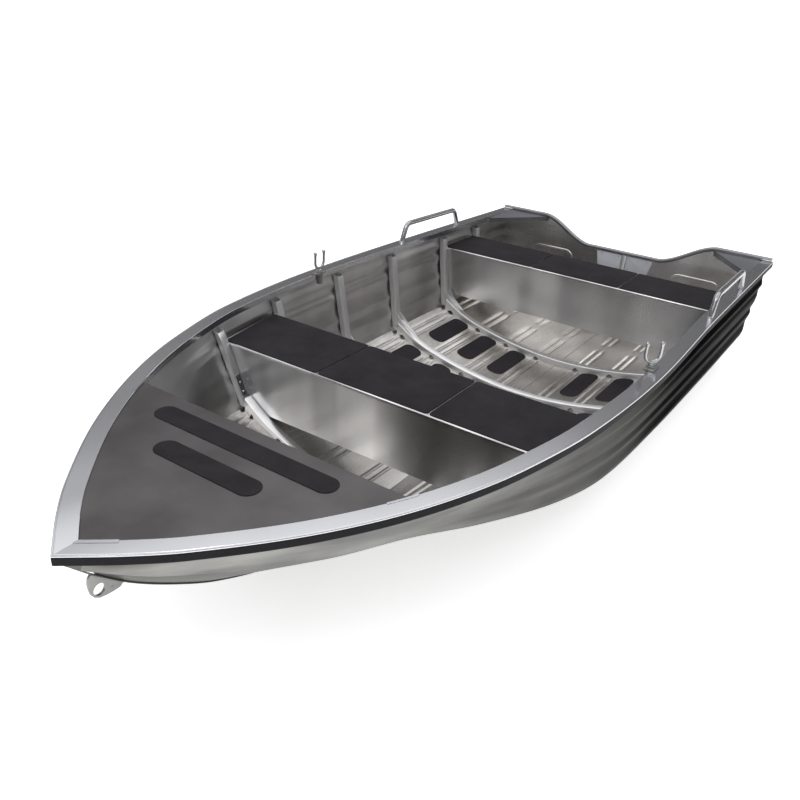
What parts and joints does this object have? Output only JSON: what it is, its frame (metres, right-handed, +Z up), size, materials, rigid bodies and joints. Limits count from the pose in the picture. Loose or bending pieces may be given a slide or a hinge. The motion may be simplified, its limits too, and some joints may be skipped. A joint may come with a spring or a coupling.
{
  "type": "pressed-aluminium rowing dinghy",
  "caption": "Open pressed-aluminium rowing boat with a small foredeck, two box thwarts, swivelling rowlocks, grab handles and a transom cut down for a small motor.",
  "frame": {"origin": "on the ground under the keel, midway along the length and on the centre plane", "axes": "+Z up, the bow points to -Y, +X is the port side"},
  "size_m": [1.6424, 3.7093, 0.7094],
  "materials": {
    "hull_alloy": "mill finish",
    "gunwale_alloy": "anodised satin",
    "black_rubber": "matt",
    "grip_rubber": "matt grip",
    "zinc_steel": "zinc plated",
    "cast_alloy": "cast satin",
    "tube_alloy": "polished tube",
    "clamp_pad": "moulded",
    "deck_alloy": "brushed",
    "thwart_alloy": "brushed",
    "frame_alloy": "brushed"
  },
  "bodies": {
    "hull": {"bilge_runner_port": "hull_alloy", "bilge_runner_starboard": "hull_alloy", "bottom_panel_port": "hull_alloy", "bottom_panel_starboard": "hull_alloy", "bow_eye": "cast_alloy", "fender_port": "black_rubber", "fender_starboard": "black_rubber", "floor_frames": "frame_alloy", "floor_pads": "grip_rubber", "foredeck": "deck_alloy", "foredeck_strips": "grip_rubber", "front_thwart": "thwart_alloy", "front_thwart_pads": "grip_rubber", "grab_handle_port": "tube_alloy", "grab_handle_starboard": "tube_alloy", "gunwale_port": "gunwale_alloy", "gunwale_starboard": "gunwale_alloy", "keel_bar": "hull_alloy", "quarter_knee_port": "hull_alloy", "quarter_knee_starboard": "hull_alloy", "rear_thwart": "thwart_alloy", "rear_thwart_pads": "grip_rubber", "rowlock_socket_port": "cast_alloy", "rowlock_socket_starboard": "cast_alloy", "side_panel_port": "hull_alloy", "side_panel_starboard": "hull_alloy", "side_ribs_port": "frame_alloy", "side_ribs_starboard": "frame_alloy", "stem_casting": "cast_alloy", "transom": "hull_alloy", "transom_brace": "hull_alloy", "transom_capping": "gunwale_alloy", "transom_inner_pads": "clamp_pad", "transom_outer_pad": "clamp_pad"},
    "rowlock_port": {"rowlock_port": "zinc_steel"},
    "rowlock_starboard": {"rowlock_starboard": "zinc_steel"}
  },
  "joints": [
    {"name": "rowlock_port_swivel", "type": "hinge", "parent": "hull", "child": "rowlock_port", "pos_m": [0.7603, 0.0098, 0.6], "axis": [0, 0, 1], "continuous": true},
    {"name": "rowlock_starboard_swivel", "type": "hinge", "parent": "hull", "child": "rowlock_starboard", "pos_m": [-0.7603, 0.0098, 0.6], "axis": [0, 0, 1], "continuous": true}
  ]
}
